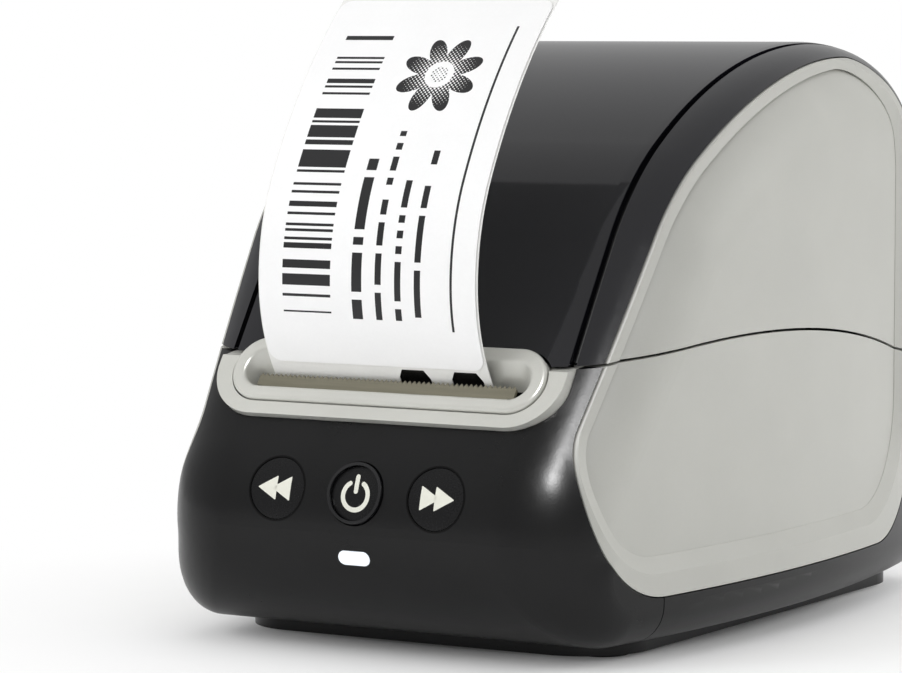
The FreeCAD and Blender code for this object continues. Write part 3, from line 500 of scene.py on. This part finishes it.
petal_waves, dot_turns, dot_bias = 4.0, 6.2, 0.15
eye_inner, eye_outer = 0.20, 0.34


def flower(tree, x, y, middle, size):
    across = calc(tree, "SUBTRACT", x, middle[0])
    up = calc(tree, "SUBTRACT", y, middle[1])
    radius = distance(tree, across, up)
    turn = calc(tree, "MULTIPLY", calc(tree, "ARCTAN2", up, across), petal_waves)
    wave = calc(tree, "ABSOLUTE", calc(tree, "SINE", turn))
    edge = calc(tree, "MULTIPLY_ADD", wave, 0.5 * size, 0.5 * size)
    petals = calc(tree, "LESS_THAN", radius, edge)
    eye = between(tree, radius, eye_inner * size, eye_outer * size)
    dots_x = calc(tree, "SINE", calc(tree, "MULTIPLY", x, dot_turns))
    dots_y = calc(tree, "SINE", calc(tree, "MULTIPLY", y, dot_turns))
    dots = calc(tree, "MULTIPLY_ADD", calc(tree, "MULTIPLY", dots_x, dots_y), 0.5, 0.5)
    shade = calc(tree, "DIVIDE", radius, size)
    toned = calc(tree, "GREATER_THAN", calc(tree, "ADD", shade, dot_bias), dots)
    ink = calc(tree, "MULTIPLY", petals, toned)
    return calc(tree, "MULTIPLY", ink, calc(tree, "SUBTRACT", 1.0, eye))


print("print masks ready")

# %% The label finish
# Places on the label are in millimetres from its lower left corner. A row of dashes has its
# low and high side, its start and end, and a seed of its own.
bar_block, bar_pitch, bar_white = ((6.0, 18.5), (12.0, 81.0)), 0.62, 0.46
rule_block = ((49.0, 49.6), (9.0, 83.0))
dash_pitch, dash_white = 1.7, 0.2
dash_rows = [((24.0, 26.6), (11.0, 47.0), 3.0), ((30.0, 31.6), (11.0, 54.0), 41.0),
             ((35.0, 36.6), (11.0, 42.0), 83.0), ((40.0, 41.6), (11.0, 50.0), 119.0)]
flower_middle, flower_size = (34.5, 69.0), 10.5
thermal_black = (0.012, 0.012, 0.013, 1)
millimetres = 1000


def label_ink(tree, x, y):
    """One where the label is black: the largest of all its marks."""
    bars = uneven_bars(tree, y, bar_pitch, 0.0, bar_white)
    marks = [calc(tree, "MULTIPLY", bars, block(tree, x, y, *bar_block))]
    marks.append(block(tree, x, y, *rule_block))
    for across, along, seed in dash_rows:
        dashes = uneven_bars(tree, y, dash_pitch, seed, dash_white)
        marks.append(calc(tree, "MULTIPLY", dashes, block(tree, x, y, across, along)))
    marks.append(flower(tree, x, y, flower_middle, flower_size))
    ink = marks[0]
    for mark in marks[1:]:
        ink = calc(tree, "MAXIMUM", ink, mark)
    return ink


def printed_finish():
    material = moulded("printed_label_paper", (0.88, 0.88, 0.88), 0.40, specular=0.4, swing=0.02,
                       grain=1500.0, bump=0.05)
    tree, shader = material.node_tree, shader_of(material)
    paper = shader.inputs["Base Color"].links[0].from_socket
    chart = add_node(tree, "ShaderNodeUVMap", uv_map="print")
    split = add_node(tree, "ShaderNodeSeparateXYZ")
    plug(tree, chart.outputs["UV"], split.inputs["Vector"])
    x = calc(tree, "MULTIPLY", split.outputs["X"], label_width * millimetres)
    y = calc(tree, "MULTIPLY", split.outputs["Y"], label_length * millimetres)
    mix = add_node(tree, "ShaderNodeMix", data_type="RGBA")
    first_colour, second_colour, mixed_colour = mix.inputs[6], mix.inputs[7], mix.outputs[2]
    plug(tree, label_ink(tree, x, y), mix.inputs["Factor"])
    plug(tree, paper, first_colour)
    plug(tree, thermal_black, second_colour)
    plug(tree, mixed_colour, shader.inputs["Base Color"])
    return material


label.data.materials.append(printed_finish())
print("label printed, in mm:", [round(v * millimetres, 1) for v in (label_width, label_length)])

# %% [markdown]
# ## Symbols on the buttons
# The three caps carry pale printed symbols: double arrows for back and forward, and the usual
# ring and bar for power. They are drawn flat, cut into small faces, and then dropped onto the
# curved caps with rays, so that they lie on the surface like ink.

# %% Helpers for flat symbols
from mathutils.bvhtree import BVHTree

button_face = Vector((0, -0.09227719, 0.0369))
button_turn = Matrix.Rotation(math.radians(74.353764), 4, "X")
cut_pitch, cuts_each_way = 0.0008, 5
ray_height, ink_lift = 0.02, 0.00004


def lay_on(mesh, node, shift):
    """Cut a flat symbol finely and drop it onto a solid along the button's axis."""
    for step in range(-cuts_each_way, cuts_each_way + 1):
        cut = step * cut_pitch
        bmesh.ops.bisect_plane(mesh, geom=whole(mesh), plane_co=(0, cut, 0), plane_no=(0, 1, 0))
        bmesh.ops.bisect_plane(mesh, geom=whole(mesh), plane_co=(cut, 0, 0), plane_no=(1, 0, 0))
    solid = nodes[node].data
    corners = [v.co for v in solid.vertices]
    tree = BVHTree.FromPolygons(corners, [p.vertices for p in solid.polygons])
    to_face = Matrix.Translation(button_face + Vector((shift, 0, 0))) @ button_turn
    outward = (to_face.to_3x3() @ Vector((0, 0, 1))).normalized()
    for vertex in mesh.verts:
        start = to_face @ vertex.co + outward * ray_height
        hit = tree.ray_cast(start, -outward)[0]
        vertex.co = hit + outward * ink_lift
    bmesh.ops.recalc_face_normals(mesh, faces=mesh.faces)
    for face in mesh.faces:
        if face.normal.dot(outward) < 0:
            face.normal_flip()
    return mesh


symbol_ink = moulded("cream_symbol_ink", (0.74, 0.74, 0.66), 0.5, specular=0.3, swing=0.04,
                     grain=1800.0, bump=0.05)


def add_symbol(mesh, name, node, shift, body):
    piece = as_object(lay_on(mesh, node, shift), name)
    piece.data.materials.append(symbol_ink)
    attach(piece, body)


print("symbol helpers ready")

# %% Back and forward symbols
arrow_tips, arrow_length = (-0.00425, -0.00065), 0.0049
arrow_half, arrow_corner = 0.00275, 0.0003
rewind_shift, forward_shift = -0.0211, 0.0207


def arrow(mesh, tip, back):
    """A triangle with soft corners that points along x."""
    outline = ((tip, 0, 0), (back, arrow_half, 0), (back, -arrow_half, 0))
    face = mesh.faces.new([mesh.verts.new(corner) for corner in outline])
    bmesh.ops.bevel(mesh, geom=list(face.verts), offset=arrow_corner, offset_type="OFFSET",
                    segments=3, profile=0.5, affect="VERTICES", material=-1)


def double_arrow(sign):
    mesh = bmesh.new()
    for tip in arrow_tips:
        arrow(mesh, sign * -tip, sign * -(tip + arrow_length))
    return mesh


add_symbol(double_arrow(-1), "symbol_rewind", "button_rewind", rewind_shift, "rewind_key")
add_symbol(double_arrow(1), "symbol_forward", "button_forward", forward_shift, "forward_key")
print("arrow symbols laid on their caps")

# %% [markdown]
# ## Painted shade round the side buttons
# Each side button sits in a hole of the front with a narrow gap that lies in shade all round, and
# that shade is painted: a flat dark ring is spun from one short edge and dropped onto the front
# just as the symbols are, so it follows the curve of the case.

# %% Painted shade round the side buttons
edge_inner, edge_outer, edge_steps = 0.00697, 0.00735, 72
button_shift = 0.0203


def edge_line():
    mesh = bmesh.new()
    ends = [mesh.verts.new((radius, 0, 0)) for radius in (edge_inner, edge_outer)]
    edge = mesh.edges.new(ends)
    bmesh.ops.spin(mesh, geom=[edge, *ends], cent=(0, 0, 0), axis=(0, 0, 1), angle=2 * math.pi,
                   steps=edge_steps, use_merge=True)
    return mesh


# Painted shade: a near-black ring stands for the shade in the gap round each side button.
gap_shade_finish = moulded("painted_gap_shade", (0.0010, 0.0010, 0.0010), 0.35, specular=0.15,
                      swing=0.1, bump=0.02)
for name, shift in (("rewind", -button_shift), ("forward", button_shift)):
    ring = as_object(lay_on(edge_line(), "front_housing", shift), "button_gap_shade_" + name)
    ring.data.materials.append(gap_shade_finish)
    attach(ring, "base")
print("button edges laid on the front")

# %% [markdown]
# ## The power symbol
# The symbol is a ring with a gap at its top and a bar that stands in the gap. The ring is spun
# from one short edge through less than a full turn, and small discs round off all four ends.

# %% Power symbol
ring_inner, ring_outer, ring_drop, ring_steps = 0.0026, 0.00367, -0.0005, 40
ring_gap = math.radians(33.0)
bar_top, bar_foot = 0.0037, 0.0004


def power_symbol():
    mesh = bmesh.new()
    middle, half = (ring_inner + ring_outer) / 2, (ring_outer - ring_inner) / 2
    centre = Vector((0, ring_drop, 0))
    start = Vector((math.sin(ring_gap), math.cos(ring_gap), 0))
    ends = [mesh.verts.new(start * radius + centre) for radius in (ring_inner, ring_outer)]
    edge = mesh.edges.new(ends)
    bmesh.ops.spin(mesh, geom=[edge, *ends], cent=centre, axis=(0, 0, -1),
                   angle=2 * math.pi - 2 * ring_gap, steps=ring_steps)
    side, rise = math.sin(ring_gap) * middle, math.cos(ring_gap) * middle + ring_drop
    for x, y in ((-side, rise), (side, rise), (0, bar_top), (0, bar_foot)):
        bmesh.ops.create_circle(mesh, cap_ends=True, segments=16, radius=half,
                                matrix=Matrix.Translation((x, y, 0)))
    bar_size = Matrix.Diagonal((2 * half, bar_top - bar_foot, 1, 1))
    bar = Matrix.Translation((0, (bar_top + bar_foot) / 2, 0)) @ bar_size
    bmesh.ops.create_grid(mesh, x_segments=1, y_segments=1, size=0.5, matrix=bar)
    return mesh


add_symbol(power_symbol(), "symbol_power", "button_power", 0.0, "power_key")
print("power symbol laid on its cap")

# %% [markdown]
# ## The studio
# The object stands on a pale floor in soft light. The world is white for the camera and even
# and weaker for everything else, so that colours render about as they are written. In
# reflections the studio is paler overhead than at the sides, which gives the polished lid its
# slow change from dark to light.

# %% World
ambient = 0.58
mirrored_low, mirrored_high = 0.47, 0.66
slope_low, slope_high = 0.2, 0.8

scene.view_settings.view_transform = "Standard"
world = bpy.data.worlds.new("white_studio")
scene.world = world
world.use_nodes = True
sky = world.node_tree
sky.nodes.clear()
path = add_node(sky, "ShaderNodeLightPath")
direction = add_node(sky, "ShaderNodeSeparateXYZ")
plug(sky, add_node(sky, "ShaderNodeTexCoord").outputs["Generated"], direction.inputs["Vector"])
mirrored = remap(sky, direction.outputs["Z"], mirrored_low, mirrored_high, slope_low, slope_high)
change = calc(sky, "SUBTRACT", mirrored, ambient)
level = calc(sky, "ADD", calc(sky, "MULTIPLY", path.outputs["Is Glossy Ray"], change), ambient)
seen = calc(sky, "MAXIMUM", path.outputs["Is Camera Ray"], path.outputs["Is Transmission Ray"])
studio = add_node(sky, "ShaderNodeBackground")
studio.inputs["Color"].default_value = (1, 1, 1, 1)
plug(sky, calc(sky, "MAXIMUM", level, seen), studio.inputs["Strength"])
plug(sky, studio.outputs[0], add_node(sky, "ShaderNodeOutputWorld").inputs["Surface"])
print("world ready")

# %% [markdown]
# ## The floor
# A pale floor catches the soft shadow close to the feet. Further out it fades into the white
# backdrop, so that no horizon shows. The fade depends on the distance from the object only,
# and just what the camera sees directly is changed.

# %% Floor
fade_start, fade_end, floor_reach = 0.05, 0.18, 6.0


def floor_finish():
    material = moulded("pale_floor", (0.93, 0.93, 0.93), 0.7, specular=0.1, swing=0.01, grain=20.0,
                       bump=0.0)
    tree = material.node_tree
    length = add_node(tree, "ShaderNodeVectorMath", operation="LENGTH")
    plug(tree, object_place(tree), length.inputs[0])
    fade = remap(tree, length.outputs["Value"], 0.0, 1.0, fade_start, fade_end,
                 interpolation_type="SMOOTHSTEP")
    seen_directly = add_node(tree, "ShaderNodeLightPath").outputs["Is Camera Ray"]
    glow = add_node(tree, "ShaderNodeEmission")
    glow.inputs["Strength"].default_value = 1.0
    mix = add_node(tree, "ShaderNodeMixShader")
    plug(tree, calc(tree, "MULTIPLY", fade, seen_directly), mix.inputs["Fac"])
    plug(tree, shader_of(material).outputs[0], mix.inputs[1])
    plug(tree, glow.outputs[0], mix.inputs[2])
    output = [node for node in tree.nodes if node.type == "OUTPUT_MATERIAL"][0]
    plug(tree, mix.outputs[0], output.inputs["Surface"])
    return material


floor_mesh = bmesh.new()
bmesh.ops.create_grid(floor_mesh, x_segments=4, y_segments=4, size=floor_reach)
floor = as_object(floor_mesh, "studio_floor")
floor.data.materials.append(floor_finish())
print("floor ready")

# %% [markdown]
# ## The lamps
# Large area lamps add direction to the even light of the world. Their square outlines would
# show in the polished lid, so they are left out of reflections, apart from one slim lamp that
# only makes the glint on the front corner.

# %% Lamps
def aimed(place, aim):
    """A placing at one point that looks along its own -Z towards another."""
    turn = (Vector(aim) - Vector(place)).to_track_quat("-Z", "Y")
    return Matrix.Translation(place) @ turn.to_matrix().to_4x4()


def soft_lamp(name, place, aim, size, power, glint=False):
    lamp = bpy.data.lights.new(name, "AREA")
    lamp.shape = "RECTANGLE"
    lamp.size, lamp.size_y = size
    lamp.energy = power
    stand = bpy.data.objects.new(name, lamp)
    stand.matrix_world = aimed(place, aim)
    stand.visible_glossy = glint
    stand.visible_diffuse = not glint
    scene.collection.objects.link(stand)


# Each lamp has its place, what it aims at, its width and height, and its power in watts.
soft_lamp("lamp_above", (0.0, 0.1, 1.4), (0, 0, 0.08), (1.6, 1.6), 5.0)
soft_lamp("lamp_left", (-0.9, -0.8, 0.7), (0, -0.02, 0.08), (1.0, 1.0), 10.0)
soft_lamp("lamp_side", (1.0, 0.75, 0.5), (0.06, 0.0, 0.07), (0.6, 0.6), 9.0)
soft_lamp("lamp_glint", (0.72, -0.94, 1.0), (0.03, -0.03, 0.05), (0.12, 0.30), 28.0, glint=True)
print("lamps placed")

# %% [markdown]
# ## The camera
# The picture is taken from the right of the front, a little above the table, with a long lens.
# The place and the lens were fitted to the known size of the case. Depth of field is off and
# there is no shift, so the other views keep the same frame.

# %% Camera
camera_place, camera_aim = (0.4551, -0.8093, 0.1385), (0.00575, -0.0616, 0.0691)
camera = bpy.data.objects.new("camera", bpy.data.cameras.new("camera"))
camera.data.sensor_fit = "HORIZONTAL"
camera.data.sensor_width = 36.0
camera.data.lens = 157.4
camera.matrix_world = aimed(camera_place, camera_aim)
scene.collection.objects.link(camera)
scene.camera = camera
print("camera at", [round(v, 3) for v in camera_place])
